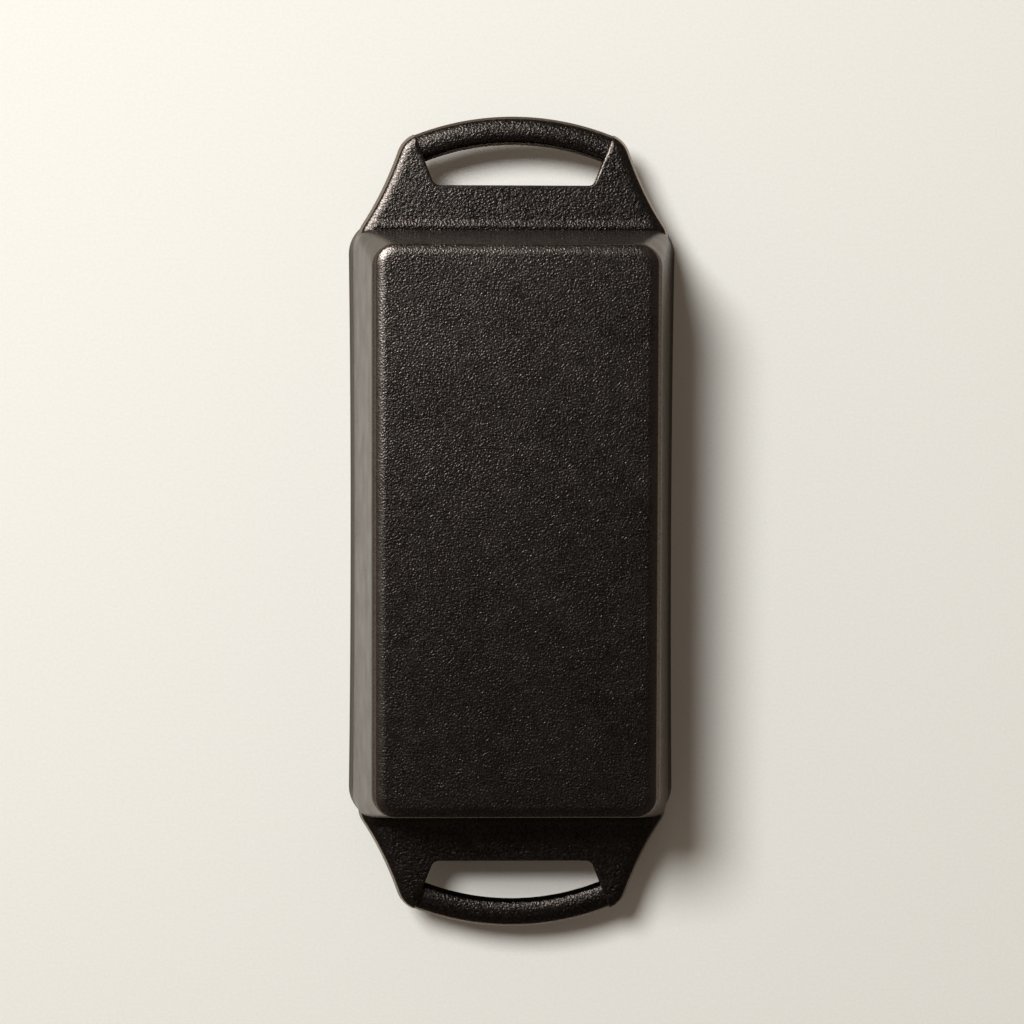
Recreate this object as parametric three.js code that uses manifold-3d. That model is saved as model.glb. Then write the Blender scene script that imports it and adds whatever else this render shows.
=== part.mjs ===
// Cast iron loaf pan, lying mouth down with its base up.
// One casting, modelled as the features it is made of, each a solid of its own:
// the tapered tub, the raised base panel, the rim band, and at each end a handle plate
// with two ears that carry an oval, bowed grip bar.
// Millimetres, +Z up. The origin is the centre of the mouth plane, the long axis is Y.
import * as THREE from 'three';
import { mergeVertices } from 'three/addons/utils/BufferGeometryUtils.js';
import Module from 'manifold-3d';

const wasm = await Module();
wasm.setup();

// Tub: outside of the walls, measured at the mouth plane
const PAN_HEIGHT = 73;
const MOUTH_WIDTH = 127.7;
const MOUTH_LENGTH = 237.6;
const SIDE_DRAFT = 7.26;
const END_DRAFT = 8.15;
const SIDE_BOW = 0.7;
const MOUTH_CORNER = 12;
const SPRING_CORNER = 5;
const BASE_CORNER = 9;
const SHOULDER = 0.4;
const WALL = 4.5;
const FLOOR = 2.8;
const FLOOR_FILLET = 8;

// Raised panel on the base
const PANEL_HEIGHT = 3.3;
const PANEL_SIDE_ROLL = 6.4;
const PANEL_END_ROLL = 4.8;
const PANEL_CORNER = 4;

// Band around the mouth
const RIM_HEIGHT = 3.5;
const RIM_LIP = 0.92;
const RIM_CORNER = 13.5;
const RIM_ROUND = 0.45;

// Handles: reach and web depth are measured from the end of the mouth
const HANDLE_REACH = 40.4;
const WEB_DEPTH = 13.3;
const PLATE_FACE = 26;
const PLATE_THICKNESS = 10.5;
const PLATE_ROLL = 4.3;
const PLATE_CROWN = 1.4;
const SIDE_SLOPE = 1.5;
const BEAD_RUN = 3.9;
const BEAD_RISE = 0.4;
const BEAD_CREST = 1.5;
const BEAD_CREASE = 0.2;
const ROOT_INSET = 1.85;
const ROOT_SETBACK = 6.1;
const ROOT_TUCK = 30;
const ROOT_CORNER = 5.5;
const ROOT_DEPTH = 20;
const EAR_CORNER = 11;
const EAR_SPLAY = 19.8;
const EAR_PROUD = 0.4;
const GRIP_ARC = 100;
const GRIP_WIDTH = 10.3;
const GRIP_THICKNESS = 5.4;
const GRIP_TILT = 4;
const PARTING_HEIGHT = 19.5;
const WINDOW_HALF_ANGLE = 21.5;
const WINDOW_CORNER = 3.1;
const WINDOW_EDGE = 1;

// Gap kept where one solid is shaped by its neighbour
const CLEARANCE = 0.3;

// Finish of the iron
const IRON_COLOUR = 0x2b2724;
const METALNESS = 0.35;
const SMOOTH_WALL = 0.4;
const PEBBLED_FACE = 0.6;

// Facets, and the share of its radius that a corner keeps however far it is drawn in
const LEAST_CORNER = 0.5;
const SAME_POINT = 1e-4;
const CORNER_STEPS = 4;
const ROUND_STEPS = 4;
const GRIP_SIDES = 9;
const GRIP_STEPS = 24;
const OVERSHOOT = 1;

const RIGHT_ANGLE = Math.PI / 2;
const radians = THREE.MathUtils.degToRad;
const shellTop = PAN_HEIGHT - PANEL_HEIGHT;
const cavityTop = shellTop - FLOOR;
const mouthEnd = MOUTH_LENGTH / 2;
const gripHalfWidth = GRIP_WIDTH / 2;
const gripCentreY = mouthEnd + HANDLE_REACH - gripHalfWidth - GRIP_ARC;

const seasonedIron = (roughness) => new THREE.MeshStandardMaterial({
  color: IRON_COLOUR,
  roughness,
  metalness: METALNESS,
});

// Fractions 0..1 in equal steps, both ends included
function steps(count) {
  return Array.from({ length: count + 1 }, (_, i) => i / count);
}

// A closed solid through rings of equal point count, each ring a list of 2-D points at one height
function loft(rings) {
  const count = rings[0].points.length;
  const positions = [];
  for (const { points, z } of rings) {
    for (const p of points) positions.push(p.x, p.y, z);
  }
  const index = [];
  for (let level = 0; level + 1 < rings.length; level += 1) {
    for (let i = 0; i < count; i += 1) {
      const a = level * count + i;
      const b = level * count + (i + 1) % count;
      index.push(a, b, b + count, a, b + count, a + count);
    }
  }
  const top = (rings.length - 1) * count;
  for (const [i, j, k] of THREE.ShapeUtils.triangulateShape(rings[0].points, [])) {
    index.push(i, k, j);
  }
  for (const [i, j, k] of THREE.ShapeUtils.triangulateShape(rings.at(-1).points, [])) {
    index.push(top + i, top + j, top + k);
  }
  const geometry = new THREE.BufferGeometry();
  geometry.setAttribute('position', new THREE.Float32BufferAttribute(positions, 3));
  geometry.setIndex(index);
  return geometry;
}

function toSolid(geometry) {
  const bare = geometry.clone();
  bare.deleteAttribute('normal');
  bare.deleteAttribute('uv');
  const merged = mergeVertices(bare, SAME_POINT);
  return new wasm.Manifold(new wasm.Mesh({
    numProp: 3,
    vertProperties: new Float32Array(merged.attributes.position.array),
    triVerts: new Uint32Array(merged.index.array),
  }));
}

function toGeometry(solid) {
  const { vertProperties, triVerts } = solid.getMesh();
  const geometry = new THREE.BufferGeometry();
  geometry.setAttribute('position', new THREE.BufferAttribute(vertProperties, 3));
  geometry.setIndex(new THREE.BufferAttribute(triVerts, 1));
  geometry.computeVertexNormals();
  return geometry;
}

// Points of a closed outline, counter-clockwise, without the repeated last point
function outlinePoints(path) {
  const points = path.getPoints(CORNER_STEPS);
  const distinct = points.filter((p, i) => i === 0 || p.distanceTo(points[i - 1]) > SAME_POINT);
  if (distinct.at(-1).distanceTo(distinct[0]) < SAME_POINT) distinct.pop();
  return distinct;
}

// The same outline moved inward by a distance, point by point along its normals
function inset(points, distance) {
  return points.map((p, i) => {
    const before = points[(i + points.length - 1) % points.length];
    const after = points[(i + 1) % points.length];
    const along = after.clone().sub(before).normalize();
    return new THREE.Vector2(p.x - along.y * distance, p.y + along.x * distance);
  });
}

// Rounded rectangle whose long sides bow inward at the middle
function roundedRectangle(halfWidth, halfLength, radius, bow) {
  const x = halfWidth - radius;
  const y = halfLength - radius;
  const shape = new THREE.Shape();
  shape.moveTo(halfWidth, -y);
  shape.quadraticCurveTo(halfWidth - 2 * bow, 0, halfWidth, y);
  shape.absarc(x, y, radius, 0, RIGHT_ANGLE);
  shape.lineTo(-x, halfLength);
  shape.absarc(-x, y, radius, RIGHT_ANGLE, 2 * RIGHT_ANGLE);
  shape.quadraticCurveTo(2 * bow - halfWidth, 0, -halfWidth, -y);
  shape.absarc(-x, -y, radius, 2 * RIGHT_ANGLE, 3 * RIGHT_ANGLE);
  shape.lineTo(x, -halfLength);
  shape.absarc(x, -y, radius, 3 * RIGHT_ANGLE, 4 * RIGHT_ANGLE);
  return outlinePoints(shape);
}

// Corner radius of the tub at a height: squarest where the handle plates spring from it
function tubCorner(z) {
  if (z < PLATE_FACE) return THREE.MathUtils.mapLinear(z, 0, PLATE_FACE, MOUTH_CORNER, SPRING_CORNER);
  return THREE.MathUtils.mapLinear(z, PLATE_FACE, shellTop, SPRING_CORNER, BASE_CORNER);
}

// Section of the tapered tub at a height, grown outward by an amount (shrunk if negative)
function tubSection(z, grow, corner = tubCorner(z)) {
  return {
    points: roundedRectangle(
      MOUTH_WIDTH / 2 - z * Math.tan(radians(SIDE_DRAFT)) + grow,
      mouthEnd - z * Math.tan(radians(END_DRAFT)) + grow,
      Math.max(corner + grow, corner * LEAST_CORNER),
      SIDE_BOW * Math.max(1 - z / shellTop, 0),
    ),
    z,
  };
}

// Tub sections that close in over a rounded edge which ends at the height top
function roundedTop(top, radius, grow, corner) {
  return steps(ROUND_STEPS).map((t) => {
    const angle = t * RIGHT_ANGLE;
    const z = top - radius * (1 - Math.sin(angle));
    return tubSection(z, grow - radius * (1 - Math.cos(angle)), corner);
  });
}

function tubBlock(bottom, grow) {
  return toSolid(loft([bottom, PLATE_FACE, shellTop].map((z) => tubSection(z, grow))));
}

// The inside of the pan: walls of even thickness running into the floor over a fillet
function cavityBlock() {
  const mouth = tubSection(-OVERSHOOT, -WALL, BASE_CORNER);
  return toSolid(loft([mouth, ...roundedTop(cavityTop, FLOOR_FILLET, -WALL, BASE_CORNER)]));
}

function panShell() {
  const walls = [tubSection(RIM_HEIGHT, 0), tubSection(PLATE_FACE, 0)];
  return toSolid(loft([...walls, ...roundedTop(shellTop, SHOULDER, 0)])).subtract(cavityBlock());
}

// Raised panel that covers the base and rolls over broadly towards the walls
function basePanel() {
  const foot = tubSection(shellTop, -SHOULDER);
  const halfWidth = Math.max(...foot.points.map((p) => p.x));
  const halfLength = Math.max(...foot.points.map((p) => p.y));
  const rings = steps(ROUND_STEPS).map((t) => {
    const angle = t * RIGHT_ANGLE;
    const drawn = 1 - Math.cos(angle);
    return {
      points: roundedRectangle(
        halfWidth - PANEL_SIDE_ROLL * drawn,
        halfLength - PANEL_END_ROLL * drawn,
        THREE.MathUtils.lerp(BASE_CORNER - SHOULDER, PANEL_CORNER, drawn),
        0,
      ),
      z: shellTop + PANEL_HEIGHT * Math.sin(angle),
    };
  });
  return toSolid(loft(rings));
}

// Band that flares out from the wall along the sides and fades into it at the corners
function rimBand() {
  const halfWidth = MOUTH_WIDTH / 2 + RIM_LIP;
  const halfLength = mouthEnd + RIM_LIP;
  const section = (z, draw) => ({
    points: roundedRectangle(halfWidth - draw, halfLength - draw, RIM_CORNER - draw, SIDE_BOW),
    z,
  });
  const band = loft([section(0, RIM_ROUND), section(RIM_ROUND, 0), tubSection(RIM_HEIGHT, 0)]);
  return toSolid(band).subtract(cavityBlock());
}

// Point at a distance and angle from the centre of the grip's bow, the angle taken from +Y
function fromGripCentre(distance, angle) {
  return new THREE.Vector2(
    distance * Math.sin(angle),
    gripCentreY + distance * Math.cos(angle),
  );
}

// Length of the legs of a curved corner whose tightest bend has a radius
function cornerLeg(radius, turn) {
  return radius * Math.sin(turn / 2) / Math.cos(turn / 2) ** 2;
}

// Outline of a handle seen from above: flared sides, rounded ears and a bowed front.
// The corner at the root stays wide enough for the plate's rolled edge to run round it.
function handleOutline() {
  const half = radians(WINDOW_HALF_ANGLE);
  const splay = radians(EAR_SPLAY);
  const front = GRIP_ARC + gripHalfWidth + EAR_PROUD;
  const ear = fromGripCentre(front - EAR_CORNER, half);
  const sideStart = new THREE.Vector2(
    ear.x + EAR_CORNER * Math.cos(splay),
    ear.y + EAR_CORNER * Math.sin(splay),
  );
  const root = new THREE.Vector2(MOUTH_WIDTH / 2 - ROOT_INSET, mouthEnd - ROOT_SETBACK);
  const bend = new THREE.Vector2(
    sideStart.x + Math.tan(splay) * (sideStart.y - root.y) / 2,
    (sideStart.y + root.y) / 2,
  );
  const inward = new THREE.Vector2(-Math.sin(radians(ROOT_TUCK)), -Math.cos(radians(ROOT_TUCK)));
  const tuck = root.clone().addScaledVector(inward, ROOT_DEPTH);
  const outward = bend.clone().sub(root).normalize();
  const turn = Math.PI - inward.angleTo(outward);
  const leg = Math.max(ROOT_CORNER, cornerLeg(SIDE_SLOPE + PLATE_ROLL + CLEARANCE, turn));
  const turnIn = root.clone().addScaledVector(inward, leg);
  const turnOut = root.clone().addScaledVector(outward, leg);
  const shape = new THREE.Shape();
  shape.moveTo(tuck.x, tuck.y);
  shape.lineTo(turnIn.x, turnIn.y);
  shape.quadraticCurveTo(root.x, root.y, turnOut.x, turnOut.y);
  shape.quadraticCurveTo(bend.x, bend.y, sideStart.x, sideStart.y);
  shape.absarc(ear.x, ear.y, EAR_CORNER, splay, RIGHT_ANGLE - half);
  shape.absarc(0, gripCentreY, front, RIGHT_ANGLE - half, RIGHT_ANGLE + half);
  shape.absarc(-ear.x, ear.y, EAR_CORNER, RIGHT_ANGLE + half, 2 * RIGHT_ANGLE - splay);
  shape.quadraticCurveTo(-bend.x, bend.y, -turnOut.x, turnOut.y);
  shape.quadraticCurveTo(-root.x, root.y, -turnIn.x, turnIn.y);
  shape.lineTo(-tuck.x, tuck.y);
  return outlinePoints(shape);
}

// The opening behind the grip: straight at the web, with sides on radii of the grip's bow
function windowOutline() {
  const half = radians(WINDOW_HALF_ANGLE);
  const web = mouthEnd + WEB_DEPTH;
  const beyond = fromGripCentre(GRIP_ARC + GRIP_WIDTH + EAR_CORNER, half);
  const webX = (web - gripCentreY) * Math.tan(half);
  const reach = WINDOW_CORNER * Math.tan((RIGHT_ANGLE - half) / 2);
  const cornerX = webX - reach;
  const sideX = webX + reach * Math.sin(half);
  const sideY = web + reach * Math.cos(half);
  const shape = new THREE.Shape();
  shape.moveTo(-cornerX, web);
  shape.lineTo(cornerX, web);
  shape.quadraticCurveTo(webX, web, sideX, sideY);
  shape.lineTo(beyond.x, beyond.y);
  shape.lineTo(-beyond.x, beyond.y);
  shape.lineTo(-sideX, sideY);
  shape.quadraticCurveTo(-webX, web, -cornerX, web);
  return outlinePoints(shape);
}

// Plate blank: widest at the parting plane, with sides that roll over gently into the flat face
function plateBlank() {
  const outline = handleOutline();
  const rings = [
    { points: inset(outline, SIDE_SLOPE), z: PLATE_FACE - PLATE_THICKNESS },
    { points: outline, z: PARTING_HEIGHT },
  ];
  for (const t of steps(ROUND_STEPS)) {
    const angle = t * RIGHT_ANGLE;
    const draw = SIDE_SLOPE + PLATE_ROLL * (1 - Math.cos(angle));
    rings.push({
      points: inset(outline, draw),
      z: PLATE_FACE - PLATE_CROWN * (1 - Math.sin(angle)),
    });
  }
  return toSolid(loft(rings));
}

// Bead where the plate's face swells towards the end wall, with a crease against the wall
function rootBead() {
  const foot = PLATE_FACE - PLATE_CROWN;
  const crest = PLATE_FACE + BEAD_RISE;
  const skirt = [tubSection(foot, BEAD_RUN)];
  for (const t of steps(ROUND_STEPS)) {
    const z = PLATE_FACE + BEAD_RISE * THREE.MathUtils.smoothstep(t, 0, 1);
    skirt.push({ ...tubSection(PLATE_FACE, THREE.MathUtils.lerp(BEAD_RUN, BEAD_CREST, t)), z });
  }
  skirt.push({ ...tubSection(PLATE_FACE, 0), z: crest - BEAD_CREASE });
  const between = inset(handleOutline(), SIDE_SLOPE + PLATE_ROLL / 2);
  const prism = loft([{ points: between, z: foot }, { points: between, z: crest + OVERSHOOT }]);
  return toSolid(loft(skirt)).intersect(toSolid(prism));
}

// Plate with its two ears, open towards the grip, cut to fit the end wall
function handlePlate() {
  const opening = windowOutline();
  const underside = PLATE_FACE - PLATE_THICKNESS;
  const cut = toSolid(loft([
    { points: opening, z: underside - OVERSHOOT },
    { points: opening, z: PLATE_FACE - WINDOW_EDGE },
    { points: inset(opening, -WINDOW_EDGE - OVERSHOOT), z: PLATE_FACE + OVERSHOOT },
  ]));
  const wall = tubBlock(RIM_HEIGHT, CLEARANCE);
  return plateBlank().add(rootBead()).subtract(cut).subtract(wall);
}

// Arc that the middle of the grip follows between the ears
class GripArc extends THREE.Curve {
  getPoint(t, target = new THREE.Vector3()) {
    const end = radians(WINDOW_HALF_ANGLE) - CLEARANCE / GRIP_ARC;
    const point = fromGripCentre(GRIP_ARC, THREE.MathUtils.lerp(-end, end, t));
    return target.set(point.x, point.y, PARTING_HEIGHT);
  }
}

// Oval bar on its flat, with the outer edge tilted up a little
function gripBar() {
  const section = new THREE.Shape();
  section.absellipse(
    0, 0, GRIP_THICKNESS / 2, gripHalfWidth, 0, 4 * RIGHT_ANGLE, false, radians(GRIP_TILT),
  );
  const bar = new THREE.ExtrudeGeometry(section, {
    extrudePath: new GripArc(),
    steps: GRIP_STEPS,
    curveSegments: GRIP_SIDES,
  });
  return toSolid(bar);
}

function piece(name, solid, material) {
  const mesh = new THREE.Mesh(toGeometry(solid), material);
  mesh.name = name;
  return mesh;
}

const pan = new THREE.Group();
pan.add(piece('pan_shell', panShell(), seasonedIron(SMOOTH_WALL)));
pan.add(piece('base_panel', basePanel(), seasonedIron(PEBBLED_FACE)));
pan.add(piece('rim_band', rimBand(), seasonedIron(SMOOTH_WALL)));

for (const [end, turn] of [['rear', 0], ['front', Math.PI]]) {
  const handle = new THREE.Group();
  handle.rotation.z = turn;
  handle.add(piece(`handle_plate_${end}`, handlePlate(), seasonedIron(PEBBLED_FACE)));
  handle.add(piece(`grip_bar_${end}`, gripBar(), seasonedIron(PEBBLED_FACE)));
  pan.add(handle);
}

export default pan;
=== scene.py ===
import math

import bpy
import numpy as np
from mathutils import Matrix, Vector


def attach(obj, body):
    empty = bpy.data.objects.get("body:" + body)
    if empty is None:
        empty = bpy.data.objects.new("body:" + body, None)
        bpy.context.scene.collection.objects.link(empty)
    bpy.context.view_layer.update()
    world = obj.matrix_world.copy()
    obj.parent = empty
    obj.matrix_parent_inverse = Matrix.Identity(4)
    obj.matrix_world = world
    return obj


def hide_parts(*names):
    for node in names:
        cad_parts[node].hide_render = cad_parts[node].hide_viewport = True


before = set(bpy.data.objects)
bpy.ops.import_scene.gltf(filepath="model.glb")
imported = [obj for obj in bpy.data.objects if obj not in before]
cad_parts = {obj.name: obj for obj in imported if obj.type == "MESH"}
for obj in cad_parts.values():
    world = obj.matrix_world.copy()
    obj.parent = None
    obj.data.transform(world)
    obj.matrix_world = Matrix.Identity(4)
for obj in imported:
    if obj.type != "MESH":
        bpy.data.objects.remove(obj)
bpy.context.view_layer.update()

MM = 0.001
QUARTER = math.pi / 2

# Tub, close to the CAD, in millimetres
PAN_HEIGHT = 73.0
MOUTH_WIDTH = 127.7
MOUTH_LENGTH = 237.6
SIDE_DRAFT = math.tan(math.radians(7.7))
END_DRAFT = math.tan(math.radians(8.65))
SIDE_BOW = 0.7
MOUTH_CORNER = 12.0
SPRING_CORNER = 5.0
BASE_CORNER = 9.0
LEAST_CORNER_SHARE = 0.5
WALL = 4.5
FLOOR = 2.8
FLOOR_FILLET = 8.0
FLOOR_INSET = 0.5

# Raised panel on the base
PANEL_HEIGHT = 3.3
PANEL_CORNER = 4.0
CROWN_RADIUS = 9.5
CROWN_TURN = math.radians(25)
SHOULDER_RADIUS = 8.6
SHOULDER_TURN = math.radians(50)
SIDE_TURN = math.radians(80.5)
END_TURN = math.radians(54.1)
FACE_SHRINK = 0.99

# Seams of the tub with the panel and the band, where the skins run on a little way under each other
SEAM_LAP = 0.3
SEAM_SINK = 0.1
SEAM_DEPTH = 0.5

# Band around the mouth
RIM_HEIGHT = 5.0
RIM_LIP = 0.82
RIM_HOLLOW = 1.4
RIM_CORNER = 13.5
RIM_ROUND = 0.45
RIM_SHELF = 1.0
FLARE_START = 0.1

# Handle plates
HANDLE_REACH = 40.3
WEB_DEPTH = 13.3
PLATE_FACE = 26.0
PLATE_THICKNESS = 10.5
PARTING_HEIGHT = 19.5
PLATE_ROLL = 4.0
PLATE_CROWN = 1.0
SIDE_SLOPE = 1.3
UNDER_ROUND = 1.0
WALL_OVERLAP = 0.8
ROOT_INSET = 1.85
ROOT_SETBACK = 6.1
ROOT_TUCK = math.radians(30)
ROOT_CORNER = 5.5
ROOT_DEPTH = 20.0
EAR_CORNER = 11.0
EAR_SPLAY = math.radians(19.8)
EAR_PROUD = 0.4

# Bead where a plate meets the end wall
BEAD_RUN = 3.9
BEAD_RISE = 0.4
BEAD_CREST = 1.5
BEAD_CREASE = 0.1
CREASE_FOOT = 0.3
CREASE_LIMIT = 1.2
BEAD_END = 2.5
BEAD_END_RUN = 2.6

# Opening behind the grip, and how far its edge rolls at the web, along its sides and on the ears
WINDOW_HALF_ANGLE = math.radians(21.5)
WINDOW_CORNER = 3.1
WEB_EDGE = 0.35
SIDE_EDGE = 0.85
SIDE_EDGE_START = 0.5
SIDE_EDGE_RUN = 3.0
EAR_EDGE = 1.0
EAR_EDGE_START = 9.0
EAR_EDGE_RUN = 5.0

# Grips
GRIP_ARC = 100.0
GRIP_HALF_WIDTH = 5.55
GRIP_FLANK = 1.9
GRIP_CROWN = 1.5
GRIP_DRAFT = 0.9
GRIP_SHOULDER_TURN = 0.14
GRIP_SINK = 1.2

# Wear: how far edges are dressed smooth, and what share of it each place gets; the front handle's smaller
# share is painted shade
EDGE_WEAR = 0.9
END_WEAR = 0.15
ROLL_WEAR = 0.7
OPENING_WEAR = 0.8
REAR_WEAR = 1.0
# Painted shade: the front handle gets less of the wear, so its edges stay darker
FRONT_WEAR_AND_SHADE = 0.35

# Where the wear begins and fades: on the panel's roll as shares of it, on the plates in millimetres
WEAR_RISE = 0.5
WEAR_END = 0.92
WEAR_FADE = 0.2
STRIP_WIDTH = 2.6
STRIP_FADE = 0.8
STRIP_TOP = 0.2
STRIP_TOP_FADE = 0.5
ROLL_WEAR_START = 2.0
ROLL_WEAR_RUN = 4.0
OPENING_WEAR_START = 0.4
OPENING_WEAR_RUN = 1.6

# Mesh density, in steps
SIDE_SEGMENTS = 64
END_SEGMENTS = 32
CORNER_SEGMENTS = 14
WALL_STEPS = 28
SHOULDER_STEPS = 14
PANEL_STEPS = 36
FILLET_STEPS = 12
LIP_STEPS = 6
FLARE_STEPS = 8
ROOT_STEPS = 8
PLATE_SIDE_STEPS = 16
EAR_STEPS = 16
FRONT_STEPS = 20
WINDOW_STEPS = 10
FLANK_STEPS = 4
GRIP_CROWN_STEPS = 36
GRIP_STEPS = 120

# Sampling of the handle plates
VOXEL = 0.55
PLAN_STEP = 0.2
PLAN_MARGIN = 1.0
SETTLE_ROUNDS = 3
SLOPE_REACH = 0.12
LEAST_SLOPE = 0.05
TINY = 1e-6

# Sizes that follow from these
SHELL_TOP = PAN_HEIGHT - PANEL_HEIGHT
CAVITY_TOP = SHELL_TOP - FLOOR
CROWN_HEIGHT = CROWN_RADIUS * (1 - math.cos(CROWN_TURN))
MOUTH_END = MOUTH_LENGTH / 2
HANDLE_END = MOUTH_END + HANDLE_REACH
GRIP_CENTRE_Y = HANDLE_END - GRIP_HALF_WIDTH - GRIP_ARC
UNDERSIDE = PLATE_FACE - PLATE_THICKNESS
ROLL_START = PLATE_FACE - PLATE_CROWN

# Box in which a handle plate is sampled
SAMPLE_HALF_WIDTH = 66.0
SAMPLE_START = 95.0
SAMPLE_BELOW = 2.0
SAMPLE_BEYOND = 3.0
SAMPLE_ABOVE = 5.0
PLATE_LOW = np.array([-SAMPLE_HALF_WIDTH, SAMPLE_START, UNDERSIDE - SAMPLE_BELOW])
PLATE_HIGH = np.array([SAMPLE_HALF_WIDTH, HANDLE_END + SAMPLE_BEYOND, PLATE_FACE + SAMPLE_ABOVE])

# Iron and paper
IRON_TINT = (1.0, 0.87, 0.775)
SHEEN_TINT = (1.0, 0.89, 0.80)
NOISE_LOW = 0.3
NOISE_HIGH = 0.7
# How strongly the pebbles' relief is painted into the colour, as painted shade in the hollows and painted
# light on the tops, and the colour stops over that, the patches and the wear
PAINTED_PEBBLE_SHADING = 1.5
PEBBLE_SHADES = ((0.15, 0.4), (0.50, 1.0), (0.80, 1.5), (1.0, 2.3))
PEBBLE_ROUGHNESS = (0.25, 0.30)
PATCH_RANGE = (0.43, 0.57)
RIPPLE_RELIEF = 0.00006
SMOOTH_LEVELS = (0.056, 0.066)
SMOOTH_METALLIC = 0.62
SMOOTH_SHEEN = 0.48
SMOOTH_ROUGHNESS = (0.21, 0.28)
PAPER_DARK = (0.80, 0.793, 0.74)
PAPER_LIGHT = (0.84, 0.834, 0.78)
PAPER_ROUGHNESS = 0.9

# Stage, light and camera, in metres
FLOOR_HALF = 3.0
LAMP_SIZE = 0.70
LAMP_POWER = 40
LAMP_LEAN = (-0.41, 0.45)
LAMP_HEIGHT = 1.7
ROOM_SLOPE = (-0.08, 0.085, -0.25)
ROOM_LEVEL = 0.355
ROOM_TINT = (1, 0.82, 0.675)
CAMERA_LEAN_LEFT = math.tan(math.radians(1.80))
CAMERA_LEAN_REAR = math.tan(math.radians(3.085))
CAMERA_ROLL = math.radians(0.16)
CAMERA_TARGET = Vector((0.00035, 0.00374, 0))
CAMERA_DISTANCE = 1.197
SENSOR_WIDTH = 36
FOCAL_PIXELS = 3000
PICTURE_PIXELS = 1024


# Meshes

def smooth_step(value, start=0, run=1):
    """Eases from 0 to 1 as a value goes on from a start over a run"""
    t = np.clip((value - start) / run, 0, 1)
    return t * t * (3 - 2 * t)


def rounded_ring(half_width, half_length, radius, bow):
    """Rounded rectangle, counter-clockwise, whose long sides bow inward at the middle"""
    x = half_width - radius
    y = half_length - radius
    along = np.linspace(-1, 1, SIDE_SEGMENTS, endpoint=False)
    side = np.column_stack([half_width - bow * (1 - along ** 2), along * y])
    turn = np.linspace(0, QUARTER, CORNER_SEGMENTS, endpoint=False)
    arc = radius * np.column_stack([np.cos(turn), np.sin(turn)])
    across = np.linspace(x, -x, END_SEGMENTS, endpoint=False)
    end = np.column_stack([across, np.full_like(across, half_length)])
    far_arc = np.column_stack([-arc[:, 1], arc[:, 0]])
    half = np.concatenate([side, arc + (x, y), end, far_arc + (-x, y)])
    return np.concatenate([half, -half])


def at_height(ring, z):
    """Ring in space from a ring in plan"""
    return np.column_stack([ring, np.full(len(ring), z)])


def loft(rings, close_loop=False, cap_first=False, cap_last=False):
    """Points and faces of a skin over rings of equal count"""
    count = len(rings[0])
    faces = []
    spans = len(rings) if close_loop else len(rings) - 1
    for level in range(spans):
        low = level * count
        high = (level + 1) % len(rings) * count
        for i in range(count):
            j = (i + 1) % count
            faces.append((low + i, low + j, high + j, high + i))
    if cap_first:
        faces.append(tuple(reversed(range(count))))
    if cap_last:
        last = (len(rings) - 1) * count
        faces.append(tuple(range(last, last + count)))
    return np.concatenate(rings), faces


def make_piece(name, points, faces, node, material):
    """Smooth-shaded piece, from points in millimetres, that stands for a CAD node"""
    mesh = bpy.data.meshes.new(name)
    mesh.from_pydata((np.asarray(points) * MM).tolist(), [], faces)
    mesh.update()
    mesh.shade_smooth()
    mesh.materials.append(material)
    piece = bpy.data.objects.new(name, mesh)
    bpy.context.scene.collection.objects.link(piece)
    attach(piece, "root")
    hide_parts(node)
    return piece


def set_dressed(piece, values):
    """How far each point is dressed smooth: 1 smooth, 0 as it left the sand"""
    layer = piece.data.attributes.new("dressed", "FLOAT", "POINT")
    layer.data.foreach_set("value", np.asarray(values, np.float32))


# Tub, panel and rim

def tub_corner(z):
    """Corner radius of the tub at a height: squarest where the handle plates spring from it"""
    return np.interp(z, (0, PLATE_FACE, SHELL_TOP), (MOUTH_CORNER, SPRING_CORNER, BASE_CORNER))


def tub_ring(z, grow, corner=None):
    """Section of the tapered tub at a height, grown outward by an amount"""
    if corner is None:
        corner = tub_corner(z)
    ring = rounded_ring(
        MOUTH_WIDTH / 2 - z * SIDE_DRAFT + grow,
        MOUTH_END - z * END_DRAFT + grow,
        max(corner + grow, corner * LEAST_CORNER_SHARE),
        SIDE_BOW * max(1 - z / SHELL_TOP, 0),
    )
    return at_height(ring, z)


def cavity_ring(z, grow=0):
    """Section of the cavity at a height, grown outward by an amount"""
    return tub_ring(z, grow - WALL, BASE_CORNER)


def roll_depth(last_turn):
    """Depth below the face at which a rolled edge runs into the wall"""
    return CROWN_HEIGHT + SHOULDER_RADIUS * (math.cos(SHOULDER_TURN) - math.cos(last_turn))


def roll_reach(below, last_turn):
    """How far a rolled edge stands out from the flat face: a low crown, then a steep shoulder"""
    if below < CROWN_HEIGHT:
        return math.sqrt(2 * CROWN_RADIUS * below - below ** 2)
    drop = (below - CROWN_HEIGHT) / SHOULDER_RADIUS
    turn = min(math.acos(math.cos(SHOULDER_TURN) - drop), last_turn)
    crown = CROWN_RADIUS * math.sin(CROWN_TURN)
    return crown + SHOULDER_RADIUS * (math.sin(turn) - math.sin(SHOULDER_TURN))


def rolled_half(half, draft, below, last_turn):
    """Half size of the base at a depth below its face, where the wall rolls over to the face"""
    depth = roll_depth(last_turn)
    foot = half - (PAN_HEIGHT - max(below, depth)) * draft
    return foot - roll_reach(depth, last_turn) + roll_reach(below, last_turn)


def roll_share(below):
    """Share of the rolled edge still ahead: 1 at the wall, 0 at the face"""
    return roll_reach(below, SIDE_TURN) / roll_reach(roll_depth(SIDE_TURN), SIDE_TURN)


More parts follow.
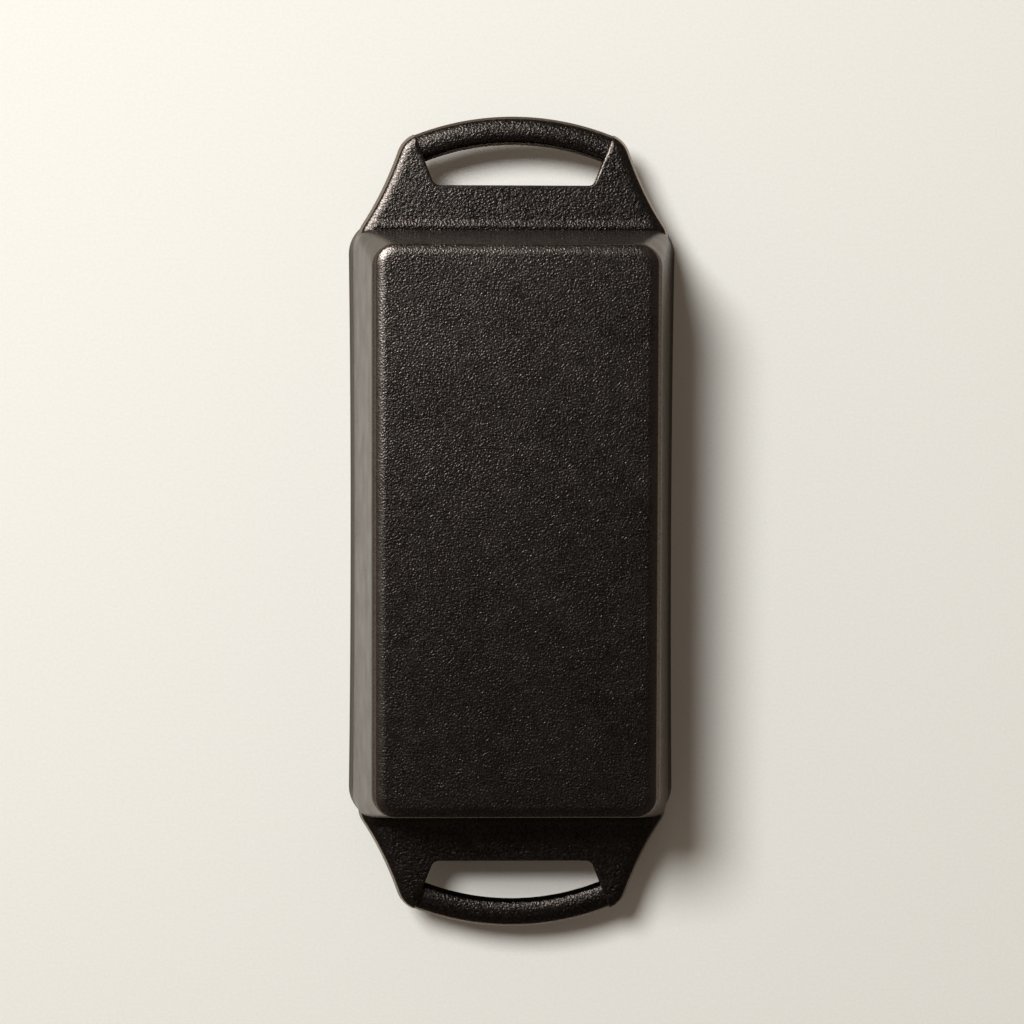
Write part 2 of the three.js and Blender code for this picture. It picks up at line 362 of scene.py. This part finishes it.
def base_edge_ring(below, sink=0):
    """Ring of the rolled edge of the base, at a depth below the face"""
    half_width = rolled_half(MOUTH_WIDTH / 2, SIDE_DRAFT, below, SIDE_TURN)
    half_length = rolled_half(MOUTH_END, END_DRAFT, below, END_TURN)
    corner = PANEL_CORNER + (BASE_CORNER - PANEL_CORNER) * roll_share(below)
    ring = rounded_ring(half_width, half_length, corner, 0)
    return at_height(ring, PAN_HEIGHT - below - sink)


def shell_piece(material):
    """Outer wall up to the base, and the cavity inside, as one closed skin"""
    start = RIM_HEIGHT - SEAM_DEPTH
    depth = roll_depth(SIDE_TURN)
    outer = [tub_ring(z, 0) for z in np.linspace(start, PAN_HEIGHT - depth, WALL_STEPS)[:-1]]
    outer += [base_edge_ring(below) for below in np.linspace(depth, PANEL_HEIGHT, SHOULDER_STEPS)]
    outer.append(base_edge_ring(PANEL_HEIGHT - SEAM_LAP, SEAM_SINK))
    outer.append(base_edge_ring(PANEL_HEIGHT - SEAM_DEPTH, SEAM_DEPTH))
    inner = [cavity_ring(start)]
    for turn in np.linspace(0, QUARTER, FILLET_STEPS + 1):
        z = CAVITY_TOP - FLOOR_FILLET * (1 - math.sin(turn))
        inner.append(cavity_ring(z, -FLOOR_FILLET * (1 - math.cos(turn))))
    inner.append(cavity_ring(CAVITY_TOP, -FLOOR_FILLET - FLOOR_INSET))
    points, faces = loft(outer[::-1] + inner, cap_first=True, cap_last=True)
    faces = [tuple(reversed(face)) for face in faces]
    make_piece("pan_shell_look", points, faces, "pan_shell", material)


def panel_wear(ring, below):
    """Wear around a ring of the panel's roll, stronger along the sides than at the ends"""
    share = roll_share(below)
    level = EDGE_WEAR * smooth_step(share / WEAR_RISE) * smooth_step((WEAR_END - share) / WEAR_FADE)
    across = np.abs(ring[:, 0])
    along_side = smooth_step((across - across.max() + BASE_CORNER) / BASE_CORNER)
    return level * (END_WEAR + (1 - END_WEAR) * along_side)


def panel_piece(material):
    """Raised panel whose broad rolled edge is worn smoother and brighter than its face"""
    rings = [base_edge_ring(PANEL_HEIGHT, SEAM_DEPTH), base_edge_ring(PANEL_HEIGHT + SEAM_LAP, SEAM_SINK)]
    worn = [np.zeros(len(ring)) for ring in rings]
    for step in np.linspace(1, 0, PANEL_STEPS + 1):
        below = PANEL_HEIGHT * step ** 2
        ring = base_edge_ring(below)
        rings.append(ring)
        worn.append(panel_wear(ring, below))
    face = rings[-1].copy()
    face[:, :2] *= FACE_SHRINK
    rings.append(face)
    worn.append(np.zeros(len(face)))
    points, faces = loft(rings, cap_first=True, cap_last=True)
    panel = make_piece("base_panel_look", points, faces, "base_panel", material)
    set_dressed(panel, np.concatenate(worn))


def lip_ring(z, draw):
    """Ring of the band's lip at a height, drawn in by an amount"""
    half_width = MOUTH_WIDTH / 2 + RIM_LIP - draw
    half_length = MOUTH_END + RIM_LIP - draw
    return at_height(rounded_ring(half_width, half_length, RIM_CORNER - draw, SIDE_BOW), z)


def rim_piece(material):
    """Band that flares out from the wall in a hollow curve and fades into it at the corners"""
    flare = (lip_ring(RIM_ROUND, 0) - tub_ring(RIM_ROUND, 0))[:, :2]
    rings = [cavity_ring(0)]
    for turn in np.linspace(0, QUARTER, LIP_STEPS):
        rings.append(lip_ring(RIM_ROUND * (1 - math.cos(turn)), RIM_ROUND * (1 - math.sin(turn))))
    for t in np.linspace(FLARE_START, 1, FLARE_STEPS):
        ring = tub_ring(RIM_ROUND + (RIM_HEIGHT - RIM_ROUND) * t, 0)
        ring[:, :2] += flare * (1 - t) ** RIM_HOLLOW
        rings.append(ring)
    rings.append(tub_ring(RIM_HEIGHT, -RIM_SHELF))
    rings.append(cavity_ring(RIM_HEIGHT))
    points, faces = loft(rings, close_loop=True)
    make_piece("rim_band_look", points, faces, "rim_band", material)


# Outlines of the handles

def from_grip_centre(distance, angle):
    """Point in plan at a distance from the centre of the grip's bow, at an angle from the middle"""
    return np.array([distance * math.sin(angle), GRIP_CENTRE_Y + distance * math.cos(angle)])


def bezier(start, control, end, count):
    """Points of a curve bent towards a control point, without its end"""
    t = np.linspace(0, 1, count, endpoint=False)[:, None]
    return (1 - t) ** 2 * start + 2 * t * (1 - t) * control + t ** 2 * end


def arc_points(centre, radius, first, last, count):
    """Points of an arc between two angles, without its end"""
    turn = np.linspace(first, last, count, endpoint=False)
    return centre + radius * np.column_stack([np.cos(turn), np.sin(turn)])


def mirrored(right):
    """Closed outline from its right half"""
    left = right[::-1] * (-1, 1)
    return np.concatenate([right, left])


def handle_outline():
    """Outline from above: flared sides, rounded ears and a bowed front"""
    front = GRIP_ARC + GRIP_HALF_WIDTH + EAR_PROUD
    ear_end = QUARTER - WINDOW_HALF_ANGLE
    ear = from_grip_centre(front - EAR_CORNER, WINDOW_HALF_ANGLE)
    side_start = ear + EAR_CORNER * np.array([math.cos(EAR_SPLAY), math.sin(EAR_SPLAY)])
    root = np.array([MOUTH_WIDTH / 2 - ROOT_INSET, MOUTH_END - ROOT_SETBACK])
    drop = (side_start[1] - root[1]) / 2
    bend = np.array([side_start[0] + math.tan(EAR_SPLAY) * drop, root[1] + drop])
    inward = -np.array([math.sin(ROOT_TUCK), math.cos(ROOT_TUCK)])
    outward = (bend - root) / np.linalg.norm(bend - root)
    tuck = root + ROOT_DEPTH * inward
    turn_in = root + ROOT_CORNER * inward
    turn_out = root + ROOT_CORNER * outward
    return mirrored(np.concatenate([
        [tuck],
        bezier(turn_in, root, turn_out, ROOT_STEPS),
        bezier(turn_out, bend, side_start, PLATE_SIDE_STEPS),
        arc_points(ear, EAR_CORNER, EAR_SPLAY, ear_end, EAR_STEPS),
        arc_points((0, GRIP_CENTRE_Y), front, ear_end, QUARTER, FRONT_STEPS),
    ]))


def window_outline():
    """Opening behind the grip: straight at the web, sides on radii of the grip's bow"""
    web = MOUTH_END + WEB_DEPTH
    beyond = from_grip_centre(GRIP_ARC + 2 * GRIP_HALF_WIDTH + EAR_CORNER, WINDOW_HALF_ANGLE)
    corner = np.array([(web - GRIP_CENTRE_Y) * math.tan(WINDOW_HALF_ANGLE), web])
    reach = WINDOW_CORNER * math.tan((QUARTER - WINDOW_HALF_ANGLE) / 2)
    side = corner + reach * np.array([math.sin(WINDOW_HALF_ANGLE), math.cos(WINDOW_HALF_ANGLE)])
    turn = bezier(corner - (reach, 0), corner, side, WINDOW_STEPS)
    return mirrored(np.concatenate([turn, [side, beyond]]))


def polygon_distance(points, outline):
    """Signed distance to a closed outline, negative inside"""
    x, y = points[:, 0], points[:, 1]
    nearest = np.full(len(points), np.inf)
    inside = np.zeros(len(points), bool)
    for start, end in zip(outline, np.roll(outline, -1, axis=0)):
        edge = end - start
        offset = points - start
        t = np.clip(offset @ edge / (edge @ edge), 0, 1)
        gap = offset - t[:, None] * edge
        nearest = np.minimum(nearest, (gap ** 2).sum(axis=1))
        if edge[1] != 0:
            straddles = (start[1] <= y) != (end[1] <= y)
            inside ^= straddles & (x < start[0] + edge[0] * (y - start[1]) / edge[1])
    return np.where(inside, -1, 1) * np.sqrt(nearest)


def plan_table(outline):
    """Distances to an outline on a fine grid in plan"""
    xs = np.arange(PLATE_LOW[0] - PLAN_MARGIN, PLATE_HIGH[0] + PLAN_MARGIN, PLAN_STEP)
    ys = np.arange(PLATE_LOW[1] - PLAN_MARGIN, PLATE_HIGH[1] + PLAN_MARGIN, PLAN_STEP)
    grid = np.stack(np.meshgrid(xs, ys, indexing="ij"), axis=-1)
    return polygon_distance(grid.reshape(-1, 2), outline).reshape(len(xs), len(ys))


def read_table(table, points):
    """Distances at points, read between the places of a table"""
    place = (points[:, :2] - (PLATE_LOW[:2] - PLAN_MARGIN)) / PLAN_STEP
    cell = np.clip(place.astype(int), 0, np.array(table.shape) - 2)
    across, along = (place - cell).T
    i, j = cell.T
    low = table[i, j] * (1 - across) + table[i + 1, j] * across
    high = table[i, j + 1] * (1 - across) + table[i + 1, j + 1] * across
    return low * (1 - along) + high * along


SIDE_TABLE = plan_table(handle_outline())
WINDOW_TABLE = plan_table(window_outline())


# Handle plates, as the zero surface of a field

def wall_distance(points):
    """Signed distance to the outside of the tub near one end"""
    z = points[:, 2]
    corner = tub_corner(z)
    past_x = np.abs(points[:, 0]) - (MOUTH_WIDTH / 2 - z * SIDE_DRAFT - corner)
    past_y = points[:, 1] - (MOUTH_END - z * END_DRAFT - corner)
    outside = np.hypot(np.maximum(past_x, 0), np.maximum(past_y, 0))
    return outside + np.minimum(np.maximum(past_x, past_y), 0) - corner


def round_max(first, second, radius):
    """Where two solids overlap, with the edge between them rounded"""
    past_first = np.maximum(first + radius, 0)
    past_second = np.maximum(second + radius, 0)
    return np.minimum(np.maximum(first, second), -radius) + np.hypot(past_first, past_second)


def bead_height(wall, side):
    """Swelling of the face towards the end wall, with a crease against the wall"""
    swell = BEAD_RISE * smooth_step((BEAD_RUN - wall) / (BEAD_RUN - BEAD_CREST))
    sunk = np.clip((BEAD_CREST - wall) / (BEAD_CREST - CREASE_FOOT), 0, CREASE_LIMIT)
    return (swell - BEAD_CREASE * sunk ** 2) * smooth_step(-side, BEAD_END, BEAD_END_RUN)


def window_edge(points):
    """Width of the roll along the opening: sharp at the web, broad on the ears beside the grip"""
    beyond_web = points[:, 1] - MOUTH_END - WEB_DEPTH
    along_side = SIDE_EDGE * smooth_step(beyond_web, SIDE_EDGE_START, SIDE_EDGE_RUN)
    on_ear = EAR_EDGE * smooth_step(beyond_web, EAR_EDGE_START, EAR_EDGE_RUN)
    return WEB_EDGE + along_side + on_ear


def plate_field(points):
    """Field of a handle plate, negative inside: sides lean in from the parting plane, edges roll over"""
    z = points[:, 2]
    side = read_table(SIDE_TABLE, points)
    window = read_table(WINDOW_TABLE, points)
    wall = wall_distance(points)
    rise = (z - PLATE_FACE - bead_height(wall, side)) * PLATE_ROLL / PLATE_CROWN
    above = np.maximum(z - PARTING_HEIGHT, 0) / (ROLL_START - PARTING_HEIGHT)
    below = np.maximum(PARTING_HEIGHT - z, 0) / (PARTING_HEIGHT - UNDERSIDE)
    lean = side + SIDE_SLOPE * (above + below)
    body = round_max(lean, rise, PLATE_ROLL)
    body = round_max(body, UNDERSIDE - z, UNDER_ROUND)
    body = np.maximum(body, round_max(rise, -window, window_edge(points)))
    return np.maximum(body, -wall - WALL_OVERLAP)


def cell_crossings(values):
    """Sum and count, in each cell of a grid, of the places where its edges cross zero"""
    cells = tuple(n - 1 for n in values.shape)
    total = np.zeros(cells + (3,))
    hits = np.zeros(cells)
    for axis in range(3):
        second, third = [other for other in range(3) if other != axis]
        for side in (0, 1):
            for rise in (0, 1):
                start = [0, 0, 0]
                start[second] = side
                start[third] = rise
                end = list(start)
                end[axis] = 1
                near = values[tuple(slice(i, i + n) for i, n in zip(start, cells))]
                far = values[tuple(slice(i, i + n) for i, n in zip(end, cells))]
                cross = (near < 0) != (far < 0)
                share = np.where(cross, near / np.where(cross, near - far, 1), 0)
                for k in range(3):
                    total[..., k] += np.where(cross, share if k == axis else start[k], 0)
                hits += cross
    return total, hits


def crossing_quads(values, ids):
    """Quads, facing outward, that join the cells around each grid edge that crosses zero"""
    cells = ids.shape
    quads = []
    for axis in range(3):
        start = [slice(1, n) for n in cells]
        start[axis] = slice(0, cells[axis])
        end = list(start)
        end[axis] = slice(1, cells[axis] + 1)
        start_inside = values[tuple(start)] < 0
        end_inside = values[tuple(end)] < 0
        spot = np.stack(np.nonzero(start_inside != end_inside), axis=-1)
        outward = start_inside[tuple(spot.T)]
        base = spot + 1
        base[:, axis] -= 1
        second = np.eye(3, dtype=int)[(axis + 1) % 3]
        third = np.eye(3, dtype=int)[(axis + 2) % 3]
        around = [base - second - third, base - third, base, base - second]
        quad = np.stack([ids[tuple(cell.T)] for cell in around], axis=-1)
        quad[~outward] = quad[~outward][:, ::-1]
        quads.append(quad)
    return np.concatenate(quads)


def surface_net(field, low, shape):
    """Points and quads over the zero surface of a field sampled on a cubic grid"""
    axes = [low[a] + VOXEL * np.arange(shape[a]) for a in range(3)]
    grid = np.stack(np.meshgrid(*axes, indexing="ij"), axis=-1)
    values = field(grid.reshape(-1, 3)).reshape(shape)
    total, hits = cell_crossings(values)
    used = hits > 0
    ids = np.full(used.shape, -1)
    ids[used] = np.arange(used.sum())
    corner = np.stack(np.nonzero(used), axis=-1)
    points = np.array(low) + VOXEL * (corner + total[used] / hits[used][:, None])
    return points, crossing_quads(values, ids)


def gradient(field, points):
    """Slope of a field at points"""
    parts = []
    for axis in range(3):
        shift = np.eye(3)[axis] * SLOPE_REACH
        parts.append((field(points + shift) - field(points - shift)) / (2 * SLOPE_REACH))
    return np.stack(parts, axis=-1)


def settle(field, points):
    """Moves points onto the zero surface of a field and returns them with their normals"""
    for _ in range(SETTLE_ROUNDS):
        slope = gradient(field, points)
        size = np.maximum((slope ** 2).sum(axis=1), LEAST_SLOPE)
        move = -(field(points) / size)[:, None] * slope
        points = points + np.clip(move, -VOXEL, VOXEL)
    slope = gradient(field, points)
    return points, slope / np.maximum(np.linalg.norm(slope, axis=1), TINY)[:, None]


def plate_mesh():
    """Points, normals and quads of the rear handle plate"""
    shape = tuple(((PLATE_HIGH - PLATE_LOW) / VOXEL).astype(int) + 2)
    points, faces = surface_net(plate_field, PLATE_LOW, shape)
    points, normals = settle(plate_field, points)
    return points, normals, faces


def plate_dressing(points):
    """Smooth on the strip along the sides, worn on the roll above it and along the opening"""
    side = read_table(SIDE_TABLE, points)
    window = read_table(WINDOW_TABLE, points)
    near_side = np.clip((side + STRIP_WIDTH) / STRIP_FADE, 0, 1)
    strip = near_side * np.clip((ROLL_START + STRIP_TOP - points[:, 2]) / STRIP_TOP_FADE, 0, 1)
    off_roll = smooth_step(-side, ROLL_WEAR_START, ROLL_WEAR_RUN)
    off_opening = smooth_step(window, OPENING_WEAR_START, OPENING_WEAR_RUN)
    roll = ROLL_WEAR * EDGE_WEAR * (1 - off_roll)
    opening = OPENING_WEAR * EDGE_WEAR * (1 - off_opening)
    return np.maximum(np.maximum(strip, roll), opening)


# Grips

def grip_section():
    """Section of the bar, outward and up: flanks with draft under a low crown, alike underneath"""
    crown = GRIP_HALF_WIDTH - GRIP_DRAFT
    flank = np.linspace(0, 1, FLANK_STEPS, endpoint=False)
    rising = np.column_stack([GRIP_HALF_WIDTH - GRIP_DRAFT * flank, GRIP_FLANK * flank])
    turn = np.linspace(GRIP_SHOULDER_TURN, math.pi - GRIP_SHOULDER_TURN, GRIP_CROWN_STEPS)
    top = np.column_stack([crown * np.cos(turn), GRIP_FLANK + GRIP_CROWN * np.sin(turn)])
    falling = rising[:0:-1] * (-1, 1)
    upper = np.concatenate([rising, top, falling])
    return np.concatenate([upper, -upper])


def grip_mesh():
    """Bar bowed outward, its ends sunk into the ears"""
    reach = WINDOW_HALF_ANGLE + GRIP_SINK / GRIP_ARC
    outward, height = grip_section().T
    distance = GRIP_ARC + outward
    rings = []
    for angle in np.linspace(reach, -reach, GRIP_STEPS):
        rings.append(np.column_stack([
            distance * math.sin(angle),
            GRIP_CENTRE_Y + distance * math.cos(angle),
            PARTING_HEIGHT + height,
        ]))
    return loft(rings, cap_first=True, cap_last=True)


def handle_pieces(material):
    """Plate and grip at the rear, and the same turned round to the front, where less dressing darkens the
    plate as painted shade
    """
    plate_points, plate_normals, plate_faces = plate_mesh()
    grip_points, grip_faces = grip_mesh()
    dressing = plate_dressing(plate_points)
    for end, sign, wear in (("rear", 1, REAR_WEAR), ("front", -1, FRONT_WEAR_AND_SHADE)):
        flip = np.array([sign, sign, 1])
        plate = make_piece(
            f"handle_plate_{end}_look", plate_points * flip, plate_faces.tolist(),
            f"handle_plate_{end}", material)
        plate.data.normals_split_custom_set_from_vertices((plate_normals * flip).tolist())
        # The front plate's smaller share of dressing darkens its edges as painted shade
        set_dressed(plate, dressing * wear)
        make_piece(
            f"grip_bar_{end}_look", grip_points * flip, grip_faces,
            f"grip_bar_{end}", material)


# Materials

def feed(tree, socket, value):
    """Sets a socket to a number, or links it to another socket"""
    if isinstance(value, (int, float)):
        socket.default_value = value
    else:
        tree.links.new(value, socket)


def noise(tree, place, scale, detail, roughness=0.5):
    """Noise texture at a place"""
    node = tree.nodes.new("ShaderNodeTexNoise")
    node.inputs["Scale"].default_value = scale
    node.inputs["Detail"].default_value = detail
    node.inputs["Roughness"].default_value = roughness
    feed(tree, node.inputs["Vector"], place)
    return node.outputs["Fac"]


def math_node(tree, operation, *values):
    """Result of a sum on numbers and sockets"""
    node = tree.nodes.new("ShaderNodeMath")
    node.operation = operation
    for socket, value in zip(node.inputs, values):
        feed(tree, socket, value)
    return node.outputs["Value"]


def spread(tree, value, low, high):
    """Spreads the usual range of a noise from a low to a high value"""
    node = tree.nodes.new("ShaderNodeMapRange")
    node.inputs["From Min"].default_value = NOISE_LOW
    node.inputs["From Max"].default_value = NOISE_HIGH
    node.inputs["To Min"].default_value = low
    node.inputs["To Max"].default_value = high
    feed(tree, node.inputs["Value"], value)
    return node.outputs["Result"]


def ramp(tree, value, colours):
    """Colour that a value picks from stops, each a place and a colour"""
    node = tree.nodes.new("ShaderNodeValToRGB")
    stops = node.color_ramp.elements
    while len(stops) < len(colours):
        stops.new(0.5)
    for stop, (place, colour) in zip(stops, colours):
        stop.position = place
        stop.color = (*colour, 1)
    feed(tree, node.inputs["Fac"], value)
    return node.outputs["Color"]


def bump(tree, shader, height, strength, distance):
    """Relief on a shader's surface"""
    node = tree.nodes.new("ShaderNodeBump")
    node.inputs["Distance"].default_value = distance
    feed(tree, node.inputs["Strength"], strength)
    feed(tree, node.inputs["Height"], height)
    feed(tree, shader.inputs["Normal"], node.outputs["Normal"])


def new_material(name):
    """Material with its tree, its shader and the place on the object"""
    material = bpy.data.materials.new(name)
    material.use_nodes = True
    tree = material.node_tree
    shader = tree.nodes["Principled BSDF"]
    place = tree.nodes.new("ShaderNodeTexCoord").outputs["Object"]
    return material, tree, shader, place


def iron_shade(level):
    """Warm dark grey of seasoned iron"""
    return tuple(level * part for part in IRON_TINT)


def iron_sheen(level):
    """Warm reflection of seasoned iron at a glancing angle"""
    return (*(level * part for part in SHEEN_TINT), 1)


def pebbled_iron(name, scale, relief, level, smoothing, baring, sheen):
    """Seasoned iron as it left the sand: fine pebbles and patches of brown

    Where it is dressed, smoothing flattens the pebbles and baring brightens the colour.
    The colour is painted darker in the pebbles' hollows and lighter on their tops: painted shade and
    light.
    """
    material, tree, shader, place = new_material(name)
    pebbles = noise(tree, place, scale, detail=1.5)
    dressed = tree.nodes.new("ShaderNodeAttribute")
    dressed.attribute_name = "dressed"
    mask = dressed.outputs["Fac"]
    strength = math_node(tree, "MULTIPLY_ADD", mask, -smoothing, 1.0)
    bump(tree, shader, pebbles, strength, relief)
    patches = spread(tree, noise(tree, place, scale=45, detail=5.0, roughness=0.6), *PATCH_RANGE)
    bared = math_node(tree, "MULTIPLY_ADD", mask, baring, patches)
    # Painted shade and light: the colour darkens in the hollows of the pebbles and lightens on their tops
    painted_pebble_shading = math_node(tree, "MULTIPLY_ADD", pebbles, PAINTED_PEBBLE_SHADING, -PAINTED_PEBBLE_SHADING / 2)
    shades = [(stop, iron_shade(share * level)) for stop, share in PEBBLE_SHADES]
    colour = ramp(tree, math_node(tree, "ADD", bared, painted_pebble_shading), shades)
    feed(tree, shader.inputs["Base Color"], colour)
    shader.inputs["Metallic"].default_value = 1.0
    shader.inputs["Specular Tint"].default_value = iron_sheen(sheen)
    wear = noise(tree, place, scale=160, detail=3.0)
    feed(tree, shader.inputs["Roughness"], spread(tree, wear, *PEBBLE_ROUGHNESS))
    return material


def smooth_iron():
    """Seasoned iron that was dressed smooth: satin, with faint streaks and ripples"""
    material, tree, shader, place = new_material("smooth_iron_look")
    ripples = noise(tree, place, scale=240, detail=3.0)
    bump(tree, shader, ripples, 1.0, RIPPLE_RELIEF)
    patches = noise(tree, place, scale=30, detail=5.0, roughness=0.6)
    dark, light = SMOOTH_LEVELS
    colour = ramp(tree, patches, [
        (NOISE_LOW, iron_shade(dark)),
        (NOISE_HIGH, iron_shade(light)),
    ])
    feed(tree, shader.inputs["Base Color"], colour)
    shader.inputs["Metallic"].default_value = SMOOTH_METALLIC
    shader.inputs["Specular Tint"].default_value = iron_sheen(SMOOTH_SHEEN)
    wear = noise(tree, place, scale=90, detail=4.0)
    feed(tree, shader.inputs["Roughness"], spread(tree, wear, *SMOOTH_ROUGHNESS))
    return material


def paper_floor():
    """Matt warm white paper with a faint grain"""
    material, tree, shader, place = new_material("floor_paper")
    grain = noise(tree, place, scale=900, detail=3.0)
    colour = ramp(tree, grain, [
        (NOISE_LOW, PAPER_DARK),
        (NOISE_HIGH, PAPER_LIGHT),
    ])
    feed(tree, shader.inputs["Base Color"], colour)
    shader.inputs["Roughness"].default_value = PAPER_ROUGHNESS
    return material


# Stage, light and camera

def make_floor():
    """Flat floor under the mouth"""
    half = FLOOR_HALF
    mesh = bpy.data.meshes.new("floor")
    corners = [(-half, -half, 0), (half, -half, 0), (half, half, 0), (-half, half, 0)]
    mesh.from_pydata(corners, [], [(0, 1, 2, 3)])
    mesh.materials.append(paper_floor())
    floor = bpy.data.objects.new("floor", mesh)
    bpy.context.scene.collection.objects.link(floor)


def make_lamp():
    """Round soft light from high up, towards the rear and the left"""
    lamp = bpy.data.lights.new("softbox", "AREA")
    lamp.shape = "DISK"
    lamp.size = LAMP_SIZE
    lamp.energy = LAMP_POWER
    light = bpy.data.objects.new("softbox", lamp)
    light.location = Vector((*LAMP_LEAN, 1)) * LAMP_HEIGHT
    light.rotation_euler = light.location.to_track_quat("Z", "Y").to_euler()
    bpy.context.scene.collection.objects.link(light)


def make_room():
    """Warm light all round, brighter low down and towards the rear and the left"""
    world = bpy.data.worlds.new("studio")
    world.use_nodes = True
    tree = world.node_tree
    toward = tree.nodes.new("ShaderNodeVectorMath")
    toward.operation = "DOT_PRODUCT"
    toward.inputs[1].default_value = ROOM_SLOPE
    feed(tree, toward.inputs[0], tree.nodes.new("ShaderNodeTexCoord").outputs["Generated"])
    level = math_node(tree, "ADD", toward.outputs["Value"], ROOM_LEVEL)
    room = ramp(tree, level, [
        (0.0, (0, 0, 0)),
        (1.0, ROOM_TINT),
    ])
    feed(tree, tree.nodes["Background"].inputs["Color"], room)
    bpy.context.scene.world = world


def make_camera():
    """Almost straight above, a little towards the rear and the left"""
    back = Vector((-CAMERA_LEAN_LEFT, CAMERA_LEAN_REAR, 1)).normalized()
    right = (-back).cross(Vector((0, 1, 0))).normalized()
    up = right.cross(-back)
    turned_right = right * math.cos(CAMERA_ROLL) + up * math.sin(CAMERA_ROLL)
    turned_up = up * math.cos(CAMERA_ROLL) - right * math.sin(CAMERA_ROLL)
    lens = bpy.data.cameras.new("camera")
    lens.sensor_width = SENSOR_WIDTH
    lens.lens = SENSOR_WIDTH * FOCAL_PIXELS / PICTURE_PIXELS
    camera = bpy.data.objects.new("camera", lens)
    place = CAMERA_TARGET + back * CAMERA_DISTANCE
    camera.matrix_world = Matrix((
        (turned_right.x, turned_up.x, back.x, place.x),
        (turned_right.y, turned_up.y, back.y, place.y),
        (turned_right.z, turned_up.z, back.z, place.z),
        (0, 0, 0, 1),
    ))
    bpy.context.scene.collection.objects.link(camera)
    bpy.context.scene.camera = camera


smooth = smooth_iron()
shell_piece(smooth)
panel_piece(pebbled_iron(
    "panel_iron_look", scale=1400, relief=0.00020, level=0.045, smoothing=0.5, baring=0.62, sheen=0.72))
rim_piece(smooth)
handle_pieces(pebbled_iron(
    "handle_iron_look", scale=1250, relief=0.00026, level=0.034, smoothing=1.0, baring=0.45, sheen=0.925))
make_floor()
make_lamp()
make_room()
make_camera()
bpy.context.scene.view_settings.view_transform = "Standard"
